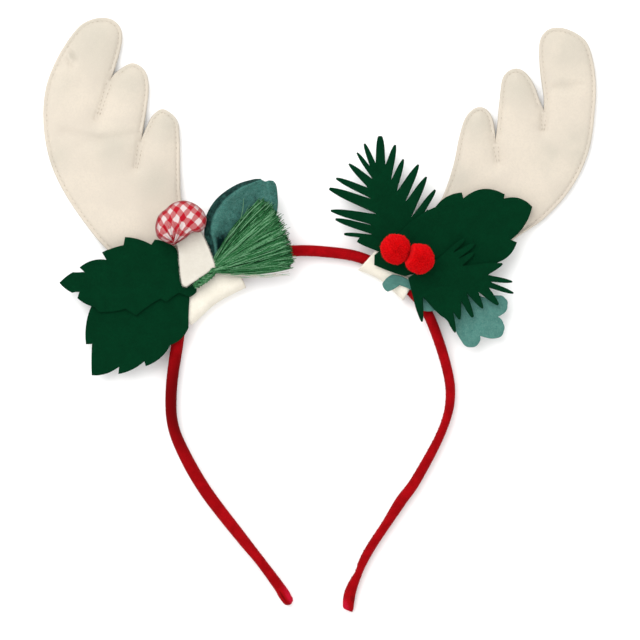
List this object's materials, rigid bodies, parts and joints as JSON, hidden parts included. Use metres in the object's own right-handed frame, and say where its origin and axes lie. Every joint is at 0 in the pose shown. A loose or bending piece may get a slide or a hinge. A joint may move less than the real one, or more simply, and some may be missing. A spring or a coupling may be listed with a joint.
{
  "type": "reindeer antler headband",
  "caption": "Springy velvet-covered headband with stuffed felt antlers, felt leaves and sprigs, a gingham mushroom, a thread tassel and wool pompoms, lying on its back.",
  "frame": {"origin": "centre of the bounding box at the surface that the headband lies on", "axes": "+X to the right as seen from the front, +Y from the band's ends up to the antlers, +Z out of the front"},
  "size_m": [0.2378, 0.2554, 0.0277],
  "materials": {
    "red_velvet": "velvet pile",
    "cream_felt": "matte felt",
    "ivory_felt": "matte felt",
    "green_felt": "matte felt",
    "teal_felt": "matte felt",
    "oak_felt": "matte felt",
    "gingham": "woven cotton",
    "green_thread": "cotton thread",
    "red_pile": "wool pile"
  },
  "bodies": {
    "root": {"headband": "red_velvet", "left_antler": "cream_felt", "right_antler": "cream_felt", "left_wrap": "ivory_felt", "right_wrap": "ivory_felt", "left_leaf_upper": "green_felt", "left_leaf_lower": "green_felt", "mushroom_cap": "gingham", "mushroom_stem": "ivory_felt", "teal_leaf": "teal_felt", "tassel": "green_thread", "fir_sprig_upper": "green_felt", "fir_sprig_lower": "green_felt", "right_leaf": "green_felt", "oak_leaf": "oak_felt", "pompom_left": "red_pile", "pompom_right": "red_pile"}
  },
  "joints": []
}
